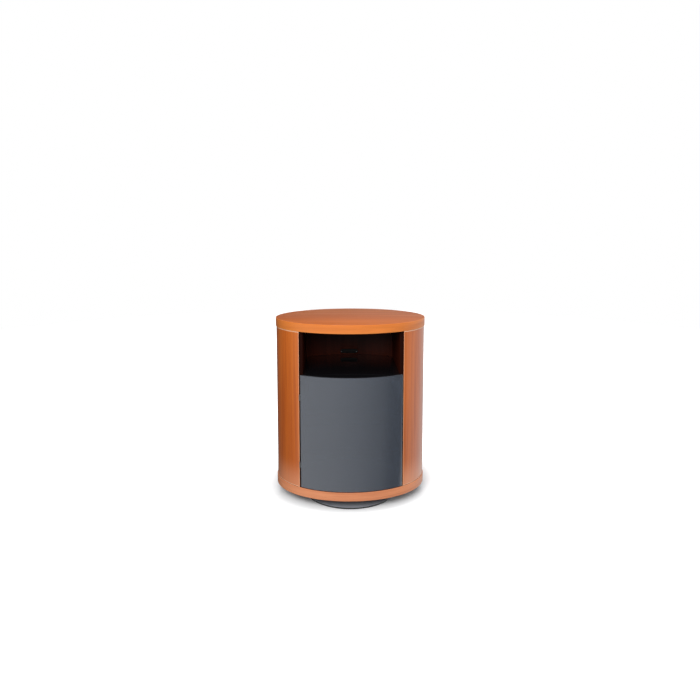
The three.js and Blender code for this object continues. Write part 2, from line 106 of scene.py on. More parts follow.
VIEW_BEARING = -1.5  # degrees from the front to the camera
VIEW_DIP = 6.021  # degrees that the camera looks down
CAMERA_PLACE = (-0.0016, -2.8403, 1.3142)  # before the camera is turned to its bearing
LENS = 30.857
SHIFT = -0.0943


# ---- Mesh helpers ----


def compass(steps):
    """Unit directions round a whole circle."""
    turns = [2 * math.pi * i / steps for i in range(steps)]
    return [(math.cos(t), math.sin(t)) for t in turns]


def inset(axes, depth):
    """The half axes of the ellipse that lies inside another by a depth."""
    return axes[0] - depth, axes[1] - depth


def arc(axes, start, end):
    """Points of an ellipse, counterclockwise between two ellipse angles."""
    steps = max(2, math.ceil((end - start) / (2 * math.pi) * RING_STEPS))
    angles = [start + (end - start) * i / steps for i in range(steps + 1)]
    return [Vector((axes[0] * math.cos(t), axes[1] * math.sin(t))) for t in angles]


def front_arc(axes, left, right):
    return arc(axes, -math.acos(left / axes[0]), -math.acos(right / axes[0]))


def back_arc(axes, right, left):
    return arc(axes, math.acos(right / axes[0]), math.acos(left / axes[0]))


def rounded(before, corner, after, size, steps=6):
    """A corner eased by a quadratic curve that starts and ends a given way along its sides."""
    start = corner + (before - corner).normalized() * size
    end = corner + (after - corner).normalized() * size
    curve = []
    for i in range(steps + 1):
        t = i / steps
        curve.append(start * (1 - t) ** 2 + corner * 2 * t * (1 - t) + end * t * t)
    return curve


def eased(corners, size):
    """An outline of straight sides with every corner eased."""
    points = []
    for i, corner in enumerate(corners):
        after = corners[(i + 1) % len(corners)]
        points += rounded(corners[i - 1], corner, after, size)
    return points


def mirrored(outline):
    """The same outline on the other side of the middle, still counterclockwise."""
    return [Vector((-p.x, p.y)) for p in outline][::-1]


def rectangle(half_width, half_height):
    """An outline about the origin, counterclockwise from its lower left corner."""
    corners = ((-1, -1), (1, -1), (1, 1), (-1, 1))
    return [Vector((x * half_width, y * half_height)) for x, y in corners]


def new_object(name, mesh_builder, material):
    """A named object from a bmesh, smooth except at its sharp edges."""
    mesh = bpy.data.meshes.new(name)
    bmesh.ops.recalc_face_normals(mesh_builder, faces=mesh_builder.faces)
    mesh_builder.to_mesh(mesh)
    mesh_builder.free()
    mesh.shade_smooth()
    mesh.set_sharp_from_angle(angle=SHARP_ANGLE)
    mesh.materials.append(material)
    made = bpy.data.objects.new(name, mesh)
    bpy.context.scene.collection.objects.link(made)
    return made


def ease_edges(builder, edges, size, segments):
    bmesh.ops.bevel(
        builder, geom=edges, offset=size, segments=segments, affect="EDGES", profile=0.5
    )


def board(outline, bottom, top, ease=1 * MM, segments=3):
    """A flat board with its outline's two long edges eased."""
    builder = bmesh.new()
    lower = [builder.verts.new((p.x, p.y, bottom)) for p in outline]
    cap = builder.faces.new(lower)
    raised = bmesh.ops.extrude_face_region(builder, geom=[cap])
    upper = [v for v in raised["geom"] if isinstance(v, bmesh.types.BMVert)]
    bmesh.ops.translate(builder, verts=upper, vec=(0, 0, top - bottom))
    if ease:
        level = [e for e in builder.edges if abs(e.verts[0].co.z - e.verts[1].co.z) < 1e-7]
        ease_edges(builder, level, ease, segments)
    return builder


def lofted(rings, closed=True):
    """A skin over rings of points: closed on itself, or capped at its first and last ring."""
    builder = bmesh.new()
    rings = [[builder.verts.new(point) for point in ring] for ring in rings]
    pairs = zip(rings, rings[1:] + rings[:1]) if closed else zip(rings, rings[1:])
    for ring, following in pairs:
        for i in range(len(ring)):
            j = (i + 1) % len(ring)
            builder.faces.new((ring[i], ring[j], following[j], following[i]))
    if not closed:
        builder.faces.new(rings[0])
        builder.faces.new(rings[-1])
    return builder


def turned(profile, axes=(0, 0), steps=RING_STEPS):
    """A closed section of (inset, height) points carried round an ellipse of those half axes."""
    rings = []
    for x, y in compass(steps):
        rings.append([((axes[0] - d) * x, (axes[1] - d) * y, z) for d, z in profile])
    return lofted(rings)


def spun(section, steps=RING_STEPS):
    """A closed section of (radius, height) points turned about Z."""
    return turned([(-radius, z) for radius, z in section], steps=steps)


def pillar(profile, steps=64):
    """A solid of revolution about Z from (radius, height) points, the lowest first."""
    rings = [[(radius * x, radius * y, z) for x, y in compass(steps)] for radius, z in profile]
    return lofted(rings, closed=False)


def place(builder, matrix):
    bmesh.ops.transform(builder, matrix=matrix, verts=builder.verts)
    return builder


def slab(low, high, ease=0.3 * MM):
    """A block between two opposite corners, its edges eased."""
    low, high = Vector(low), Vector(high)
    builder = bmesh.new()
    bmesh.ops.create_cube(builder, size=1)
    place(builder, Matrix.Translation((low + high) / 2) @ Matrix.Diagonal((*(high - low), 1)))
    ease_edges(builder, builder.edges[:], ease, 2)
    return builder


def rod(foot, end, radius, ease=0.3 * MM, steps=48):
    """A round bar between two points, its ends rounded over."""
    along = Vector(end) - Vector(foot)
    length = along.length
    profile = []
    for i in range(5):
        turn = math.pi / 8 * i
        profile.append((radius - ease * (1 - math.sin(turn)), ease * (1 - math.cos(turn))))
    profile += [(r, length - z) for r, z in reversed(profile)]
    turned_to = along.to_track_quat("Z", "Y").to_matrix().to_4x4()
    return place(pillar(profile, steps), Matrix.Translation(foot) @ turned_to)


def merged(*builders):
    """Several closed shapes as one piece."""
    whole = bmesh.new()
    for builder in builders:
        mesh = bpy.data.meshes.new("shape")
        builder.to_mesh(mesh)
        builder.free()
        whole.from_mesh(mesh)
        bpy.data.meshes.remove(mesh)
    return whole


def along_y(centre):
    """Stands a piece made about Z along +Y instead, at a centre."""
    return Matrix.Translation(centre) @ Matrix.Rotation(math.radians(-90), 4, "X")


def cut(piece, builders, material):
    """Cuts closed shapes out of a piece."""
    for number, builder in enumerate(builders):
        tool = new_object(f"tool{number}", builder, material)
        modifier = piece.modifiers.new("cut", "BOOLEAN")
        modifier.operation = "DIFFERENCE"
        modifier.solver = "EXACT"
        modifier.object = tool
    depsgraph = bpy.context.evaluated_depsgraph_get()
    mesh = bpy.data.meshes.new_from_object(piece.evaluated_get(depsgraph))
    for modifier in list(piece.modifiers):
        tool = modifier.object
        piece.modifiers.remove(modifier)
        bpy.data.objects.remove(tool)
    piece.data = mesh
    mesh.shade_smooth()
    mesh.set_sharp_from_angle(angle=SHARP_ANGLE)


def face_with(piece, material, facing):
    """Gives a second material to the faces whose normal passes a test."""
    piece.data.materials.append(material)
    for polygon in piece.data.polygons:
        if facing(polygon.normal):
            polygon.material_index = 1


def stands_for(piece, body, slot, *nodes):
    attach(piece, body)
    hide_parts(*nodes)


# ---- Material helpers ----


def colour(red, green, blue):
    """An sRGB colour, 0 to 255, as linear light."""
    def linear(value):
        value /= 255
        return value / 12.92 if value <= 0.04045 else ((value + 0.055) / 1.055) ** 2.4

    return linear(red), linear(green), linear(blue), 1.0


class Nodes:
    """A material's node tree and the short calls that fill it."""

    def __init__(self, name, **settings):
        self.material = bpy.data.materials.new(name)
        self.material.use_nodes = True
        self.tree = self.material.node_tree
        self.shader = self.tree.nodes["Principled BSDF"]
        for socket, value in settings.items():
            self.shader.inputs[socket.replace("_", " ")].default_value = value

    def add(self, kind, inputs=None, **settings):
        node = self.tree.nodes.new("ShaderNode" + kind)
        for name, value in settings.items():
            setattr(node, name, value)
        for name, value in (inputs or {}).items():
            self.feed(node.inputs[name], value)
        return node

    def feed(self, socket, value):
        if isinstance(value, bpy.types.NodeSocket):
            self.tree.links.new(value, socket)
        else:
            socket.default_value = value

    def math(self, operation, first, second=0.0):
        return self.add("Math", {0: first, 1: second}, operation=operation).outputs[0]

    def noise(self, vector, scale, detail=3.0, roughness=0.5, distortion=0.0):
        inputs = {
            "Vector": vector, "Scale": scale, "Detail": detail,
            "Roughness": roughness, "Distortion": distortion,
        }
        return self.add("TexNoise", inputs).outputs["Fac"]

    def span(self, value, low, high, to_low=0.0, to_high=1.0, curve="LINEAR"):
        inputs = {
            "Value": value, "From Min": low, "From Max": high,
            "To Min": to_low, "To Max": to_high,
        }
        return self.add("MapRange", inputs, interpolation_type=curve).outputs["Result"]

    def mix(self, factor, first, second):
        node = self.add("Mix", data_type="RGBA")
        for socket, value in (("Factor_Float", factor), ("A_Color", first), ("B_Color", second)):
            self.feed(next(s for s in node.inputs if s.identifier == socket), value)
        return next(s for s in node.outputs if s.identifier == "Result_Color")

    def bump(self, height, distance, strength=1.0):
        inputs = {"Height": height, "Distance": distance, "Strength": strength}
        self.feed(self.shader.inputs["Normal"], self.add("Bump", inputs).outputs["Normal"])


def scaled(nodes, vector, scale):
    return nodes.add("VectorMath", {0: vector, 1: scale}, operation="MULTIPLY").outputs[0]


def stretched(nodes, vector, along, across):
    return scaled(nodes, vector, (along, across, across))


def grain_space(nodes, lie):
    """Coordinates in metres with the grain along the first of them."""
    here = nodes.add("TexCoord").outputs["Object"]
    parts = nodes.add("SeparateXYZ", {0: here}).outputs
    x, y, z = parts["X"], parts["Y"], parts["Z"]
    if lie == "upright":
        order = (z, x, y)
    elif lie == "around":
        across, along = nodes.math("DIVIDE", x, RIM[0]), nodes.math("DIVIDE", y, -RIM[1])
        turn = nodes.math("ARCTAN2", across, along)
        order = (nodes.math("MULTIPLY", turn, sum(RIM) / 2), z, 0.0)
    else:
        order = (x, y, z)
    made = nodes.add("CombineXYZ")
    for socket, value in zip(made.inputs, order):
        nodes.feed(socket, value)
    return made.outputs[0]


def paint_sheen_and_highlights(nodes, shade, foot, head):
    """Paints light onto a panel: a paler foot as painted sheen from the white floor, and paler
    arrises as painted highlights.
    """
    here = nodes.add("TexCoord").outputs["Object"]
    parts = nodes.add("SeparateXYZ", {0: here}).outputs
    # Painted sheen: the colour turns paler towards the panel's foot, for light off the white floor.
    foot_sheen_mask = nodes.span(parts["Z"], foot, foot + FOOT_SHEEN_HEIGHT, FOOT_SHEEN_SHARE, 0.0, "SMOOTHSTEP")
    shade = nodes.mix(foot_sheen_mask, shade, FOOT_SHEEN)
    # Painted highlight along the rounded upright edges beside the opening.
    from_axis = nodes.math("ABSOLUTE", parts["X"])
    upright = nodes.span(from_axis, OPENING + PANEL_EDGE, OPENING + 2 * MM, 0.0, 0.3)
    shade = nodes.mix(upright, shade, ARRIS_HIGHLIGHT)
    # Painted highlight along the panel's top and bottom arrises.
    middle, reach = (foot + head) / 2, (head - foot) / 2
    from_middle = nodes.math("ABSOLUTE", nodes.math("SUBTRACT", parts["Z"], middle))
    level = nodes.span(from_middle, reach - 4.2 * MM, reach - 2.4 * MM)
    return nodes.mix(level, shade, ARRIS_HIGHLIGHT)


def veneer(name, lie, shades, coat=0.3, seed=0.0, ends=None, gloss=0.35):
    """Satin lacquered veneer: broad figure, growth lines, fine fibres and pores along the grain.

    A piece whose lower and upper ends are given gets painted sheen there: paler towards its foot,
    and painted highlights on its arrises.
    """
    pale, mid, deep, pore = shades
    nodes = Nodes(name, Coat_Weight=coat, Coat_Roughness=0.22, Specular_IOR_Level=gloss)
    space = grain_space(nodes, lie)
    space = nodes.add("VectorMath", {0: space, 1: (seed, seed * 0.7, seed * 1.3)}).outputs[0]
    broad = nodes.noise(stretched(nodes, space, 0.7, 9), 1.0, 2, 0.5, 0.6)
    figure = nodes.noise(stretched(nodes, space, 1.6, 42), 1.0, 4, 0.55, 0.8)
    lines = nodes.noise(stretched(nodes, space, 3.0, 210), 1.0, 3, 0.6, 0.4)
    fibres = nodes.noise(stretched(nodes, space, 30, 1400), 1.0, 2, 0.6)
    pores = nodes.noise(stretched(nodes, space, 90, 2600), 1.0, 1, 0.5)
    shade = nodes.mix(nodes.span(broad, 0.36, 0.64), mid, pale)
    shade = nodes.mix(nodes.span(figure, 0.48, 0.74, 0.0, 0.55), shade, deep)
    shade = nodes.mix(nodes.span(lines, 0.45, 0.75, 0.0, 0.3), shade, deep)
    shade = nodes.mix(nodes.span(fibres, 0.35, 0.75, 0.0, 0.16), shade, deep)
    shade = nodes.mix(nodes.span(pores, 0.64, 0.74, 0.0, 0.35), shade, pore)
    if ends:
        shade = paint_sheen_and_highlights(nodes, shade, *ends)
    nodes.feed(nodes.shader.inputs["Base Color"], shade)
    nodes.feed(nodes.shader.inputs["Roughness"], nodes.span(figure, 0.3, 0.7, 0.34, 0.44))
    nodes.bump(nodes.math("SUBTRACT", fibres, pores), 0.02 * MM, 0.5)
    return nodes.material


def tones(*shades):
    """A veneer's pale, middle, deep and pore colours."""
    return [colour(*shade) for shade in shades]


CHERRY_TONES = tones((212, 114, 40), (196, 98, 32), (150, 64, 20), (92, 38, 14))
LIPPING_TONES = tones((230, 136, 62), (218, 122, 52), (176, 86, 36), (112, 50, 24))
# Paler, pinker tones for the bottom lipping: painted sheen standing in for the white floor's
# reflection in its lacquer.
FOOT_SHEEN_TONES = tones((226, 148, 104), (214, 134, 92), (172, 96, 62), (112, 56, 34))
DARK_TONES = tones((70, 26, 14), (57, 20, 11), (40, 14, 8), (22, 8, 5))
# Near black, darker than the interior's own colour: painted shade for the walls' front edges in the
# gap behind the opening.
SHADE_EDGE_TONES = tones((38, 13, 7), (30, 10, 6), (22, 7, 4), (12, 4, 3))
# Pale colour painted on the panels' rounded arrises: painted highlights.
ARRIS_HIGHLIGHT = colour(255, 214, 178)
# Pale pink painted towards each panel's foot: painted sheen standing in for light off the white
# floor.
FOOT_SHEEN = colour(250, 176, 136)
FOOT_SHEEN_HEIGHT = 130 * MM
FOOT_SHEEN_SHARE = 0.42  # how much of the painted sheen colour shows at a panel's foot
PANEL_ENDS = (panel_low.z, panel_high.z)

CHERRY_UPRIGHT = veneer("cherry_upright", "upright", CHERRY_TONES)
CHERRY_PANEL = veneer("cherry_panel", "upright", CHERRY_TONES, 0.85, 2.3, PANEL_ENDS)
CHERRY_ACROSS = veneer("cherry_across", "across", CHERRY_TONES, seed=3.1)
CHERRY_AROUND = veneer("cherry_around", "around", LIPPING_TONES, seed=5.7)
CHERRY_FOOT_SHEEN = veneer("cherry_foot_sheen", "around", FOOT_SHEEN_TONES, seed=9.1)
PAINTED_SHADE_EDGE = veneer("dark_cherry_shade_edge", "upright", SHADE_EDGE_TONES, 0.0, 4.4, gloss=0.05)
DARK_UPRIGHT = veneer("dark_cherry_upright", "upright", DARK_TONES, 0.04, 1.9, gloss=0.12)
DARK_ACROSS = veneer("dark_cherry_across", "across", DARK_TONES, 0.04, 8.3, gloss=0.12)


def speckled(name, base, fleck, scale, amount, roughness, bump=0.0, **settings):
    """A plain finish with fine mottling in its colour, gloss and surface."""
    nodes = Nodes(name, **settings)
    here = nodes.add("TexCoord").outputs["Object"]
    grain = nodes.noise(here, scale, 3, 0.6)
    drift = nodes.noise(here, scale / 60, 2, 0.5)
    shade = nodes.mix(nodes.span(grain, 0.35, 0.75, 0.0, amount), base, fleck)
    shade = nodes.mix(nodes.span(drift, 0.3, 0.7, 0.0, amount), shade, fleck)
    nodes.feed(nodes.shader.inputs["Base Color"], shade)
    dulling = nodes.span(drift, 0.3, 0.7, roughness * 0.9, roughness * 1.1)
    nodes.feed(nodes.shader.inputs["Roughness"], dulling)
    if bump:
        nodes.bump(grain, bump)
    return nodes.material


BLACK_LACQUER = speckled(
    "black_lacquer", colour(14, 14, 16), colour(22, 22, 25), 300, 0.4, 0.07,
    Coat_Weight=0.5, Coat_Roughness=0.03,
)
BASE_PAINT = speckled(
    "base_paint", colour(146, 149, 156), colour(128, 130, 136), 1500, 0.5, 0.38, 0.02 * MM,
    Coat_Weight=0.2, Coat_Roughness=0.25,
)
RIM_PAINT = speckled(
    "rim_paint", colour(46, 46, 46), colour(36, 36, 36), 1500, 0.5, 0.4, 0.02 * MM
)
STEEL = speckled(
    "steel", colour(168, 170, 174), colour(128, 130, 134), 900, 0.5, 0.34, Metallic=1.0
)
NICKEL = speckled(
    "nickel", colour(178, 177, 174), colour(148, 147, 144), 1200, 0.4, 0.34, Metallic=1.0
)
BLACK_PLASTIC = speckled(
    "black_plastic", colour(28, 28, 30), colour(40, 40, 42), 2200, 0.6, 0.5, 0.03 * MM
)
RUBBER = speckled("rubber", colour(26, 26, 26), colour(44, 43, 42), 1800, 0.5, 0.8, 0.05 * MM)


def smoked_glass():
    """Grey glass that mirrors the studio and lets a little of the dark bays through."""
    nodes = Nodes(
        "smoked_glass", Roughness=0.05, IOR=1.6, Transmission_Weight=0.75,
        Coat_Weight=1.0, Coat_IOR=1.9, Coat_Roughness=0.02,
    )
    here = nodes.add("TexCoord").outputs["Object"]
    drift = nodes.noise(here, 2.5, 2, 0.5)
    shade = nodes.mix(nodes.span(drift, 0.0, 1.0), colour(112, 122, 138), colour(119, 129, 146))
    nodes.feed(nodes.shader.inputs["Base Color"], shade)
    return nodes.material


def plywood():
    """Bare plywood, its plies showing as dark and pale lines."""
    nodes = Nodes("plywood", Roughness=0.7)
    here = nodes.add("TexCoord").outputs["Object"]
    z = nodes.add("SeparateXYZ", {0: here}).outputs["Z"]
    plies = nodes.math("SINE", nodes.math("MULTIPLY", z, 2 * math.pi / (3 * MM)))
    fibres = nodes.noise(stretched(nodes, here, 12, 400), 1.0, 3, 0.6)
    shade = nodes.mix(nodes.span(plies, -0.2, 0.2), colour(160, 122, 78), colour(206, 175, 130))
    shade = nodes.mix(nodes.span(fibres, 0.4, 0.8, 0.0, 0.3), shade, colour(130, 96, 60))
    nodes.feed(nodes.shader.inputs["Base Color"], shade)
    return nodes.material


SMOKED_GLASS = smoked_glass()
PLYWOOD = plywood()


# ---- The end discs ----


def lipping_profile(bottom, top, round_size=2 * MM, steps=5):
    """The lipping's section as (inset, height), its two outer arrises rounded."""
    rounding = []
    for i in range(steps + 1):
        turn = math.pi / 2 * i / steps
        rounding.append((round_size * (1 - math.sin(turn)), round_size * (1 - math.cos(turn))))
    lower = [(depth, bottom + rise) for depth, rise in rounding]
    upper = [(depth, top - rise) for depth, rise in reversed(rounding)]
    return [(LIPPING, bottom), *lower, *upper, (LIPPING, top)]


def make_disc(place_name, holes):
    low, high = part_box(f"{place_name}_disc")
    # The bottom lipping takes the veneer with painted sheen.
    lipping_material = CHERRY_AROUND if place_name == "top" else CHERRY_FOOT_SHEEN
    ring = turned(lipping_profile(low.z, high.z), RIM)
    band = new_object(f"{place_name}_lipping", ring, lipping_material)
    stands_for(band, "cabinet", "cherry_veneer", f"{place_name}_rim_band")
    outline = arc(inset(RIM, LIPPING + 0.25 * MM), 0, 2 * math.pi)[:-1]
    builder = board(outline, low.z, high.z, 0.3 * MM, 2)
    disc = new_object(f"{place_name}_board", builder, CHERRY_ACROSS)
    if holes:
        cut(disc, holes, CHERRY_ACROSS)
    shown = 0.5 if place_name == "top" else 2  # only the top disc's upper face is cherry
    face_with(disc, DARK_ACROSS, lambda normal: abs(normal.z) > 0.5 and normal.z < shown)
    stands_for(disc, "cabinet", "cherry_veneer", f"{place_name}_disc")


def make_discs():
    bush_high, bush_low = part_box("pivot_bush")[1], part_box("bottom_disc")[0]
    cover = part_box("pivot_cover")[1]
    bore = bush_high.x + FIT
    counterbore = cover.x + FIT
    holes = [
        pillar([(bore, bush_low.z - MM), (bore, bush_high.z + MM)]),
        pillar([(counterbore, bush_high.z), (counterbore, FLOOR_OF_BAYS + MM)]),
    ]
    make_disc("bottom", holes)
    make_disc("top", [])


# ---- The side panels ----


def panel_outline(sign):
    """Plan of a side panel, its upright outer edges rounded."""
    outer, inner = SKIN, inset(SKIN, PANEL_THICKNESS)
    outside = arc(outer, -math.acos(OPENING / outer[0]), math.acos(OPENING / outer[0]))
    inside = arc(inner, -math.acos(OPENING / inner[0]), math.acos(OPENING / inner[0]))
    front = rounded(inside[0], outside[0], outside[2], PANEL_EDGE)
    back = rounded(outside[-3], outside[-1], inside[-1], PANEL_EDGE)
    points = front + outside[2:-2] + back + inside[::-1]
    return points if sign > 0 else mirrored(points)


def hinge_notches():
    """Clearance for the hinges' knuckles in the left panel's front edge."""
    notches = []
    for level in ("lower", "upper"):
        low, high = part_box(f"{level}_hinge_pin")
        x, y = (low.x + high.x) / 2, (low.y + high.y) / 2
        corners = [(-4, -6), (4, -6), (4, 4), (-4, 4)]
        outline = [Vector((x + dx * MM, y + dy * MM)) for dx, dy in corners]
        notches.append(board(outline, low.z - 0.5 * MM, high.z + 0.5 * MM, 0))
    return notches


def make_side_panels():
    for side, sign in (("left", -1), ("right", 1)):
        builder = board(panel_outline(sign), panel_low.z, panel_high.z, 2.2 * MM, 4)
        panel = new_object(f"{side}_panel", builder, CHERRY_PANEL)
        if side == "left":
            cut(panel, hinge_notches(), CHERRY_PANEL)
        # Faces towards the middle take the dark interior colour: on the panel's inside that is its
        # own colour, on its end by the door it is painted shade for the gap beside the door.
        face_with(panel, DARK_UPRIGHT, lambda normal: normal.x * sign < -0.6)
        stands_for(panel, "cabinet", "cherry_veneer", f"{side}_side_panel")


# ---- The back ----


def slot_path(width, height, steps=16):
    """Round the edge of a slot with round ends: each point with its outward direction."""
    radius = height / 2
    path = []
    for centre, start in ((width / 2 - radius, -90), (radius - width / 2, 90)):
        for i in range(steps + 1):
            turn = math.radians(start + 180 * i / steps)
            outward = Vector((math.cos(turn), math.sin(turn)))
            point = Vector((centre, 0)) + outward * radius
            if not path or (point - path[-1][0]).length > 1e-6:
                path.append((point, outward))
    if (path[0][0] - path[-1][0]).length < 1e-6:
        path.pop()
    return path


def through_back(builder, x, z, depth=-30 * MM):
    """Stands a tool that was made about Z so that it passes through the back panel."""
    return place(builder, along_y((x, SKIN[1] + depth, z)))


def slot_tool(width, height, x, z):
    """A cutter for a slot, or for a round hole where the two sizes are the same."""
    if math.isclose(width, height, abs_tol=0.1 * MM):
        return through_back(pillar([(width / 2, 0), (width / 2, 60 * MM)], 96), x, z)
    outline = [point for point, _ in slot_path(width, height)]
    return through_back(board(outline, 0, 60 * MM, 0), x, z)


def cable_ports():
    """Each cable port's grommet node, centre, width and height."""
    for number in (1, 2):
        node = f"cable_grommet_{number}"
        low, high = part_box(node)
        flanges = 2 * GROMMET_FLANGE
        yield node, (low + high) / 2, high.x - low.x - flanges, high.z - low.z - flanges


def make_back():
    low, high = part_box("back_panel")
    outer, inner = SKIN, inset(SKIN, BACK_THICKNESS)
    outside = back_arc(outer, high.x, low.x)
    inside = back_arc(inner, high.x, low.x)[::-1]
    right = rounded(inside[-1], outside[0], outside[2], 1.5 * MM, 4)
    left = rounded(outside[-3], outside[-1], inside[0], 1.5 * MM, 4)
    builder = board(right + outside[2:-2] + left + inside, low.z, high.z, 1 * MM, 2)
    panel = new_object("back_board", builder, CHERRY_UPRIGHT)
    tools = []
    for _, middle, width, height in cable_ports():
        tools.append(slot_tool(width, height, middle.x, middle.z))
    for opening in frame["record"]["physics"]["openings"]:
        if opening["name"].startswith("vent"):
            (x0, _, z0), (x1, _, z1) = opening["box_m"]
            width, height = x1 - x0 + 10 * MM, z1 - z0 + 2 * MM
            tools.append(slot_tool(width, height, (x0 + x1) / 2, (z0 + z1) / 2))
    for number in range(1, 5):
        screw_low, screw_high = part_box(f"back_screw_{number}")
        x, z = (screw_low.x + screw_high.x) / 2, (screw_low.z + screw_high.z) / 2
        seat = screw_high.y - SCREW_SEAT["depth"] - SKIN[1]
        hole, recess = SCREW_SEAT["hole"], SCREW_SEAT["radius"]
        shaft = pillar([(hole, 0), (hole, 30 * MM)], 24)
        tools.append(through_back(shaft, x, z, seat - 20 * MM))
        tools.append(through_back(pillar([(recess, 0), (recess, 60 * MM)], 48), x, z, seat))
    cut(panel, tools, CHERRY_UPRIGHT)
    face_with(panel, DARK_UPRIGHT, lambda normal: normal.y < -0.3)
    stands_for(panel, "cabinet", "cherry_veneer", "back_panel")


def make_grommets():
    """Rubber sleeves with soft flanges that follow the back's curve, closed by slit webs."""
    for node, middle, width, height in cable_ports():
        low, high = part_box(node)
        depth = high.y - low.y
        sleeve, bore, flange, lift = -FIT, -2.8 * MM, GROMMET_FLANGE, 2 * MM
        section = [  # out from the hole's edge, and along its depth
            (bore, 0), (sleeve, 0), (sleeve, depth - lift), (flange, depth - lift),
            (flange, depth - 1.3 * MM), (flange - 0.6 * MM, depth - 0.5 * MM),
            (flange - 1.6 * MM, depth), (bore + 1.2 * MM, depth),
            (bore + 0.4 * MM, depth - 0.3 * MM), (bore, depth - MM),
        ]
        rings = []
        for point, outward in slot_path(width, height, 32):
            ring = []
            for out, along in section:
                x, z = point + outward * out
                curve = SKIN[1] * (1 - math.sqrt(1 - (x / SKIN[0]) ** 2)) if along else 0
                ring.append((middle.x + x, low.y + along - curve, middle.z + z))
            rings.append(ring)
        name = node.replace("cable_", "")
        stands_for(new_object(name, lofted(rings), RUBBER), "cabinet", "rubber", node)
        outline = [point + outward * bore for point, outward in slot_path(width, height, 32)]
        slit = width / 2 + bore - 4 * MM
        facing_out = along_y((middle.x, high.y - 2.4 * MM, middle.z))
        skin = place(board(outline, 0, 1.2 * MM, 0.2 * MM, 1), facing_out)
        web = new_object(f"{name}_web", skin, RUBBER)
        gash = board(rectangle(slit, 0.4 * MM), 0.5 * MM, 3 * MM, 0)
        cut(web, [place(gash, facing_out)], RUBBER)
        stands_for(web, "cabinet", "rubber", node)


def make_screw(node, name, facing):
    """A pan-head screw along Y with a cross recess, its head towards +Y or -Y."""
    low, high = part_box(node)
    length, head, shank = high.y - low.y, (high.x - low.x) / 2, SCREW_SHANK[facing]
    seat = length - SCREW_HEAD
    profile = [
        (0.4 * MM, 0), (shank, 3 * MM), (shank, seat), (head, seat), (head, seat + 0.5 * MM),
        (head * 0.85, seat + 1.2 * MM), (head * 0.55, length),
    ]
    foot = low.y if facing > 0 else high.y
    lie = along_y(((low.x + high.x) / 2, foot, (low.z + high.z) / 2))
    if facing < 0:
        lie = lie @ Matrix.Rotation(math.pi, 4, "X")
    made = new_object(name, place(pillar(profile, 40), lie), NICKEL)
    tools = []
    for along, across in ((0.55, 0.11), (0.11, 0.55)):
        outline = rectangle(along * head, across * head)
        tools.append(place(board(outline, length - 0.9 * MM, length + MM, 0), lie))
    cut(made, tools, NICKEL)
    stands_for(made, "cabinet", "nickel", node)


def make_screws():
    for number in range(1, 5):
        make_screw(f"back_screw_{number}", f"panel_screw_{number}", 1)
        make_screw(f"hinge_screw_{number}", f"leaf_screw_{number}", -1)


# ---- Shelves ----


def make_fixed_shelf():
    low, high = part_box("speaker_shelf")
    front = inset(SKIN, GLASS_THICKNESS + 3 * MM)
    back = inset(SKIN, BACK_THICKNESS + FIT)
    outline = front_arc(front, low.x, high.x) + back_arc(back, high.x, low.x)
    shelf = new_object("gloss_shelf", board(outline, low.z, high.z, 1.2 * MM), BLACK_LACQUER)
    stands_for(shelf, "cabinet", "black_lacquer", "speaker_shelf")


def make_loose_shelves():
    for number in (1, 2):
        node = f"loose_shelf_{number}"
        low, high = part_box(node)
        left, right, front, back = low.x, high.x, low.y, high.y
        corners = [(left, front), (right, front), (right, back), (left, back)]
        outline = eased([Vector(corner) for corner in corners], 4 * MM)
        builder = board(outline, low.z, high.z, 0.8 * MM)
        made = new_object(f"shelf_board_{number}", builder, DARK_ACROSS)
        stands_for(made, "cabinet", "dark_cherry", node)


def make_shelf_pins():
    for number in range(1, 9):
        node = f"shelf_pin_{number}"
        low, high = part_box(node)
        middle, radius = (low + high) / 2, (high.z - low.z) / 2
        pin = rod((low.x, middle.y, middle.z), (high.x, middle.y, middle.z), radius, 0.6 * MM, 32)
        stands_for(new_object(f"peg_{number}", pin, STEEL), "cabinet", "steel", node)


def wall_holes(low, high, sign):
    """Rows of shelf-pin holes in a wall's inner face."""
    face = low.x if sign > 0 else high.x
    holes = []
    for number in range(1, 9):
        pin_low, pin_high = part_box(f"shelf_pin_{number}")
        middle = (pin_low + pin_high) / 2
        if middle.x * sign < 0:
            continue
        for step in (-1, 0, 1):
            z = middle.z + step * PIN_HOLE["pitch"]
            outer = (face - sign * MM, middle.y, z)
            inner = (face + sign * PIN_HOLE["depth"], middle.y, z)
            holes.append(rod(outer, inner, PIN_HOLE["radius"], 0.1 * MM, 24))
    return holes


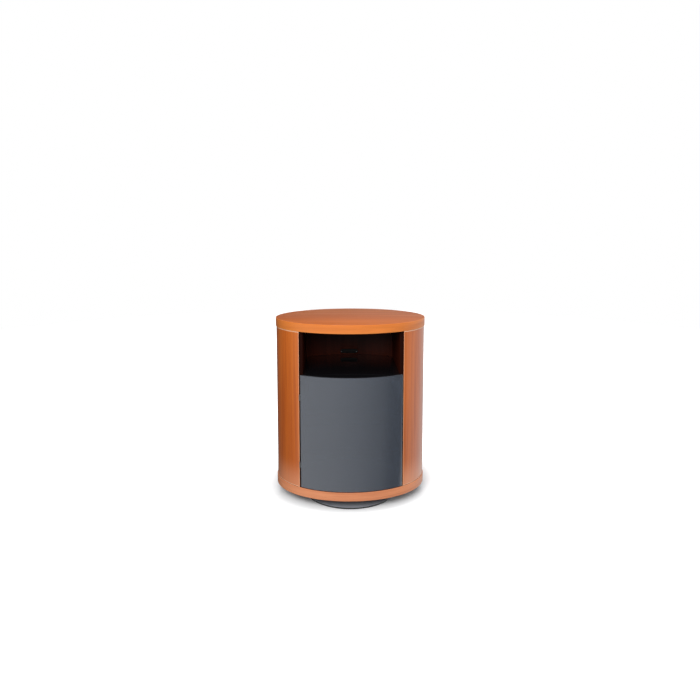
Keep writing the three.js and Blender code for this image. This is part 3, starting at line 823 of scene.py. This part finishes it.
def make_inner_walls():
    for side, sign in (("left", -1), ("right", 1)):
        low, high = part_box(f"{side}_inner_wall")
        near, far = min(abs(low.x), abs(high.x)), max(abs(low.x), abs(high.x))
        curve = inset(SKIN, BACK_THICKNESS + 0.6 * MM)
        corners = [Vector((near, low.y)), Vector((far, low.y))]
        for x in (far, near):
            corners.append(Vector((x, curve[1] * math.sqrt(1 - (x / curve[0]) ** 2))))
        outline = eased(corners, 0.8 * MM)
        if sign < 0:
            outline = mirrored(outline)
        builder = board(outline, low.z, high.z, 0.3 * MM, 2)
        wall = new_object(f"{side}_wall", builder, DARK_UPRIGHT)
        tools = wall_holes(low, high, sign)
        for number in range(1, 5):
            names = (f"back_screw_{number}", f"hinge_screw_{number}")
            for (screw_low, screw_high), shank in zip(map(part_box, names), SCREW_SHANK.values()):
                middle = (screw_low + screw_high) / 2
                if low.x < middle.x < high.x:
                    front = (middle.x, screw_low.y - MM, middle.z)
                    back_end = (middle.x, screw_high.y + MM, middle.z)
                    tools.append(rod(front, back_end, shank + FIT, 0.1 * MM, 24))
        cut(wall, tools, DARK_UPRIGHT)
        # The walls' front edges are painted near black as shade in the gap behind the opening's
        # edges.
        face_with(wall, PAINTED_SHADE_EDGE, lambda normal: normal.y < -0.7)
        stands_for(wall, "cabinet", "dark_cherry", f"{side}_inner_wall")


# ---- The door ----


def knuckle(x, y, bottom, top):
    """A hinge's barrel about an upright axis."""
    radius, bore, ease = HINGE["knuckle"], HINGE["bore"], 0.3 * MM
    section = [
        (bore, bottom), (radius - ease, bottom), (radius, bottom + ease),
        (radius, top - ease), (radius - ease, top), (bore, top),
    ]
    return place(spun(section, 48), Matrix.Translation((x, y, 0)))


def make_hinges():
    """The cabinet's leaf on the wall, the door's leaf on the glass, and the pin through both."""
    height, leaf = HINGE["knuckle_height"], HINGE["leaf"]
    for level in ("lower", "upper"):
        pin_low, pin_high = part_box(f"{level}_hinge_pin")
        x, y = (pin_low.x + pin_high.x) / 2, (pin_low.y + pin_high.y) / 2
        low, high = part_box(f"{level}_hinge_cabinet_leaf")
        left, low_top, high_foot = FIT - OPENING, low.z + height, high.z - height
        fixed = merged(
            slab((left, high.y - leaf, low.z), (high.x, high.y, high.z)),
            slab((left, y + MM, low.z), (left + leaf, high.y, low_top)),
            slab((left, y + MM, high_foot), (left + leaf, high.y, high.z)),
            knuckle(x, y, low.z, low_top),
            knuckle(x, y, high_foot, high.z),
        )
        made = new_object(f"{level}_fixed_leaf", fixed, NICKEL)
        stands_for(made, "cabinet", "nickel", f"{level}_hinge_cabinet_leaf")

        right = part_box(f"{level}_hinge_door_leaf")[1].x
        bottom, top = low_top + FIT, high_foot - FIT
        near = inset(SKIN, GLASS_THICKNESS + FIT)
        far = inset(SKIN, GLASS_THICKNESS + FIT + leaf)

        def curved(reach):
            start = x + reach
            return front_arc(near, start, right) + front_arc(far, start, right)[::-1]

        strap = x + 0.9 * MM
        swinging = merged(
            board(curved(4.4 * MM), low.z, high.z, 0.3 * MM, 2),
            board(curved(1.8 * MM), bottom, top, 0.3 * MM, 2),
            slab((strap, y + MM, bottom), (strap + leaf, y + 7 * MM, top)),
            knuckle(x, y, bottom, top),
        )
        made = new_object(f"{level}_swinging_leaf", swinging, NICKEL)
        stands_for(made, "door", "nickel", f"{level}_hinge_door_leaf")

        radius = HINGE["bore"] - FIT
        head = (pin_high.x - pin_low.x) / 2
        pin = merged(
            rod((x, y, pin_low.z), (x, y, pin_high.z - 0.5 * MM), radius, 0.3 * MM, 32),
            rod((x, y, pin_high.z - MM), (x, y, pin_high.z), head, 0.4 * MM, 32),
        )
        made = new_object(f"{level}_pin", pin, NICKEL)
        stands_for(made, "cabinet", "nickel", f"{level}_hinge_pin")


def make_latch():
    low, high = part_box("latch_body")
    body = new_object("latch_housing", slab(low, high, 0.8 * MM), BLACK_PLASTIC)
    tip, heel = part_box("latch_plunger")
    x, z, radius = (tip.x + heel.x) / 2, (tip.z + heel.z) / 2, (heel.x - tip.x) / 2
    bore = rod((x, low.y - MM, z), (x, heel.y + 5 * MM, z), radius + FIT, 0.1 * MM)
    cut(body, [bore], BLACK_PLASTIC)
    stands_for(body, "cabinet", "black_plastic", "latch_body")
    button = rod((x, tip.y, z), (x, heel.y, z), radius, 0.9 * MM)
    plunger = new_object("latch_button", button, BLACK_PLASTIC)
    stands_for(plunger, "latch_plunger", "black_plastic", "latch_plunger")
    low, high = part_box("latch_strike")
    curve = front_arc(inset(SKIN, GLASS_THICKNESS + FIT), low.x, high.x)
    outline = curve + [Vector((high.x, high.y)), Vector((low.x, high.y))]
    strike = new_object("strike_pad", board(outline, low.z, high.z, 0.4 * MM, 2), NICKEL)
    stands_for(strike, "door", "nickel", "latch_strike")
    for number in (1, 2):
        node = f"door_bumper_{number}"
        low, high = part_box(node)
        middle, radius = (low + high) / 2, (high.x - low.x) / 2
        ends = (middle.x, low.y, middle.z), (middle.x, high.y, middle.z)
        made = new_object(f"bumper_{number}", rod(*ends, radius, 1.4 * MM), RUBBER)
        stands_for(made, "cabinet", "rubber", node)


def make_door():
    outside = front_arc(SKIN, glass_low.x, glass_high.x)
    inside = front_arc(inset(SKIN, GLASS_THICKNESS), glass_low.x, glass_high.x)[::-1]
    right = rounded(outside[-3], outside[-1], inside[0], 1.2 * MM, 4)
    left = rounded(inside[-1], outside[0], outside[2], 1.2 * MM, 4)
    outline = left + outside[2:-2] + right + inside
    builder = board(outline, glass_low.z, glass_high.z, 0.9 * MM)
    glass = new_object("curved_glass", builder, SMOKED_GLASS)
    stands_for(glass, "door", "smoked_glass", "door_glass")


# ---- The base ----


def cover_profile():
    """The spun saucer's section as (radius, height), rolled over at its rim."""
    low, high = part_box("base_cover")
    radius, wall, shoulder, bore = high.x, SAUCER["wall"], SAUCER["shoulder"], SAUCER["bore"]
    rim, roll = low.z + SAUCER["rim"], SAUCER["roll"]
    outside = [(radius - wall, low.z), (radius - 0.4 * MM, low.z), (radius, low.z + 0.4 * MM)]
    for i in range(7):
        turn = math.radians(78) * i / 6
        inward, down = roll * (1 - math.cos(turn)), roll * (1 - math.sin(turn))
        outside.append((radius - inward, rim - down))
    edge, level = outside[-1]
    for i in range(1, 9):
        share = i / 8
        rise = (high.z - level) * share ** 0.92  # the saucer is a little domed
        outside.append((edge + (shoulder - edge) * share, level + rise))
    outside += [(bore, high.z), (bore, high.z - wall), (shoulder, high.z - wall)]
    return outside + [(radius - 4 * MM, rim - wall), (radius - wall, rim - 3.5 * MM)]


def make_base():
    cover = new_object("saucer", spun(cover_profile()), BASE_PAINT)
    face_with(cover, RIM_PAINT, lambda normal: abs(normal.z) < 0.5)
    stands_for(cover, "base", "base_paint", "base_cover")
    for number in range(1, 6):
        node = f"foot_pad_{number}"
        low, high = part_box(node)
        radius = (high.x - low.x) / 2
        profile = [
            (radius - 1.5 * MM, 0), (radius - 0.4 * MM, 0.5 * MM), (radius, 1.2 * MM),
            (radius, high.z - 0.4 * MM), (radius - 0.4 * MM, high.z),
        ]
        centre = Matrix.Translation(((low.x + high.x) / 2, (low.y + high.y) / 2, 0))
        pad = new_object(f"pad_{number}", place(pillar(profile), centre), RUBBER)
        stands_for(pad, "base", "rubber", node)


def make_swivel():
    """Smoothly round plates, hub, bush, washer and cover in place of the frame's faceted ones."""
    ease = 0.4 * MM
    solid = 0.4 * MM  # a pinhole, as good as none
    for node, body, bore, slot, material in (
        ("base_plate", "base", solid, "steel", STEEL),
        ("base_hub", "base", BOLT_BORE, "plywood", PLYWOOD),
        ("bearing_lower_plate", "base", BEARING_BORE, "steel", STEEL),
        ("bearing_upper_plate", "cabinet", BEARING_BORE, "steel", STEEL),
        ("pivot_bush", "cabinet", BOLT_BORE, "black_plastic", BLACK_PLASTIC),
        ("pivot_washer", "base", BOLT_BORE, "steel", STEEL),
        ("pivot_cover", "cabinet", solid, "black_plastic", BLACK_PLASTIC),
    ):
        low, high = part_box(node)
        section = [
            (bore, low.z), (high.x - ease, low.z), (high.x, low.z + ease),
            (high.x, high.z - ease), (high.x - ease, high.z), (bore, high.z),
        ]
        made = new_object(f"round_{node}", spun(section, 128), material)
        stands_for(made, body, slot, node)


# ---- Finishes of the frame's own nodes ----

FINISHES = {"steel": STEEL, "plywood": PLYWOOD}  # by material slot


def finish_nodes():
    slots = {part["node"]: part["material_slot"] for part in frame["record"]["subparts"]}
    for name, node in frame["nodes"].items():
        if node.hide_render:
            continue
        node.data.materials.clear()
        node.data.materials.append(FINISHES[slots[name]])


# ---- Camera, floor and lights ----


def make_camera():
    data = bpy.data.cameras.new("camera")
    camera = bpy.data.objects.new("camera", data)
    bpy.context.scene.collection.objects.link(camera)
    data.lens = LENS
    data.shift_y = SHIFT
    turn = math.radians(VIEW_BEARING)
    camera.location = Matrix.Rotation(turn, 4, "Z") @ Vector(CAMERA_PLACE)
    camera.rotation_euler = (math.radians(90 - VIEW_DIP), 0, turn)
    bpy.context.scene.camera = camera


def distance_from(nodes, centre, scale=(1, 1, 1)):
    """Distance from a point, in coordinates that are scaled first."""
    here = scaled(nodes, nodes.add("TexCoord").outputs["Object"], scale)
    return nodes.add("VectorMath", {0: here, 1: centre}, operation="DISTANCE").outputs["Value"]


def sheet(name, radius, height, material):
    """A flat round sheet of the studio."""
    builder = bmesh.new()
    builder.faces.new([builder.verts.new((radius * x, radius * y, height)) for x, y in compass(96)])
    made = new_object(name, builder, material)
    made.visible_shadow = False
    return made


def make_floor():
    """A white floor that shows the cabinet's shadow, and a glowing card that lights its foot."""
    nodes = Nodes("studio_floor", Roughness=0.9, Specular_IOR_Level=0.1)
    here = nodes.add("TexCoord").outputs["Object"]
    drift = nodes.span(nodes.noise(here, 2.0, 2, 0.5), 0.0, 1.0)
    shade = nodes.mix(drift, (0.80, 0.81, 0.82, 1.0), (0.82, 0.83, 0.84, 1.0))
    nodes.feed(nodes.shader.inputs["Base Color"], shade)
    nodes.shader.inputs["Emission Color"].default_value = (1, 1, 1, 1)
    distance = distance_from(nodes, SHADE_CENTRE, SHADE_SCALE)
    nodes.feed(nodes.shader.inputs["Emission Strength"], nodes.span(distance, *FLOOR_FADE))
    floor = sheet("studio_floor", FLOOR_RADIUS, 0, nodes.material)
    floor.visible_diffuse = floor.visible_glossy = floor.visible_transmission = False

    nodes = Nodes("studio_card", Roughness=1.0)
    nodes.shader.inputs["Base Color"].default_value = (0, 0, 0, 1)
    nodes.shader.inputs["Emission Color"].default_value = (1, 1, 1, 1)
    distance = distance_from(nodes, (0, 0, 0))
    rising = nodes.span(distance, *CARD[0], 0.15, 1.0)
    fading = nodes.span(distance, *CARD[1], CARD_GLOW, 0.0)
    glow = nodes.math("MULTIPLY", rising, fading)
    nodes.feed(nodes.shader.inputs["Emission Strength"], glow)
    card = sheet("studio_card", CARD[1][1], -1 * MM, nodes.material)
    card.visible_camera = card.visible_glossy = card.visible_transmission = False


def make_light(name, location, size, power):
    """A soft box that lights the cabinet and isn't mirrored in it."""
    data = bpy.data.lights.new(name, "AREA")
    data.shape = "RECTANGLE"
    data.size, data.size_y = size
    data.energy = power
    light = bpy.data.objects.new(name, data)
    light.location = location
    light.visible_glossy = False
    towards = Vector(SOFT_BOX_AIM) - Vector(location)
    light.rotation_euler = towards.to_track_quat("-Z", "Y").to_euler()
    bpy.context.scene.collection.objects.link(light)


def make_air():
    """White to the camera; to the cabinet, a studio with pale and dark sides."""
    world = bpy.data.worlds.new("studio_air")
    world.use_nodes = True
    tree = world.node_tree
    background = tree.nodes["Background"]

    def add(kind, *values, **settings):
        node = tree.nodes.new("ShaderNode" + kind)
        for name, value in settings.items():
            setattr(node, name, value)
        for socket, value in zip(node.inputs, values):
            if isinstance(value, bpy.types.NodeSocket):
                tree.links.new(value, socket)
            else:
                socket.default_value = value
        return node.outputs[0]

    direction = tree.nodes.new("ShaderNodeSeparateXYZ")
    tree.links.new(tree.nodes.new("ShaderNodeTexCoord").outputs["Generated"], direction.inputs[0])
    behind = add("Math", direction.outputs["Y"], -1.0, operation="MULTIPLY")
    bearing = add("Math", direction.outputs["X"], behind, operation="ARCTAN2")
    curve = tree.nodes.new("ShaderNodeFloatCurve")
    points = curve.mapping.curves[0].points
    for point, (degrees, level) in zip((points[0], points[1]), (AIR[0], AIR[-1])):
        point.location = (degrees / 360 + 0.5, level)
    for degrees, level in AIR[1:-1]:
        points.new(degrees / 360 + 0.5, level)
    curve.mapping.update()
    turned_by = add("Math", bearing, 1 / (2 * math.pi), 0.5, operation="MULTIPLY_ADD")
    tree.links.new(turned_by, curve.inputs["Value"])
    seen = tree.nodes.new("ShaderNodeLightPath").outputs["Is Camera Ray"]
    strength = add("Math", curve.outputs[0], seen, operation="MAXIMUM")
    tree.links.new(strength, background.inputs["Strength"])
    background.inputs["Color"].default_value = (1, 1, 1, 1)
    bpy.context.scene.world = world


def make_lights():
    for name, (location, size, power) in SOFT_BOXES.items():
        make_light(name, location, size, power)
    make_air()
    bpy.context.scene.view_settings.view_transform = "Standard"


make_camera()
make_discs()
make_side_panels()
make_back()
make_grommets()
make_inner_walls()
make_fixed_shelf()
make_loose_shelves()
make_shelf_pins()
make_door()
make_hinges()
make_screws()
make_latch()
make_base()
make_swivel()
finish_nodes()
make_floor()
make_lights()
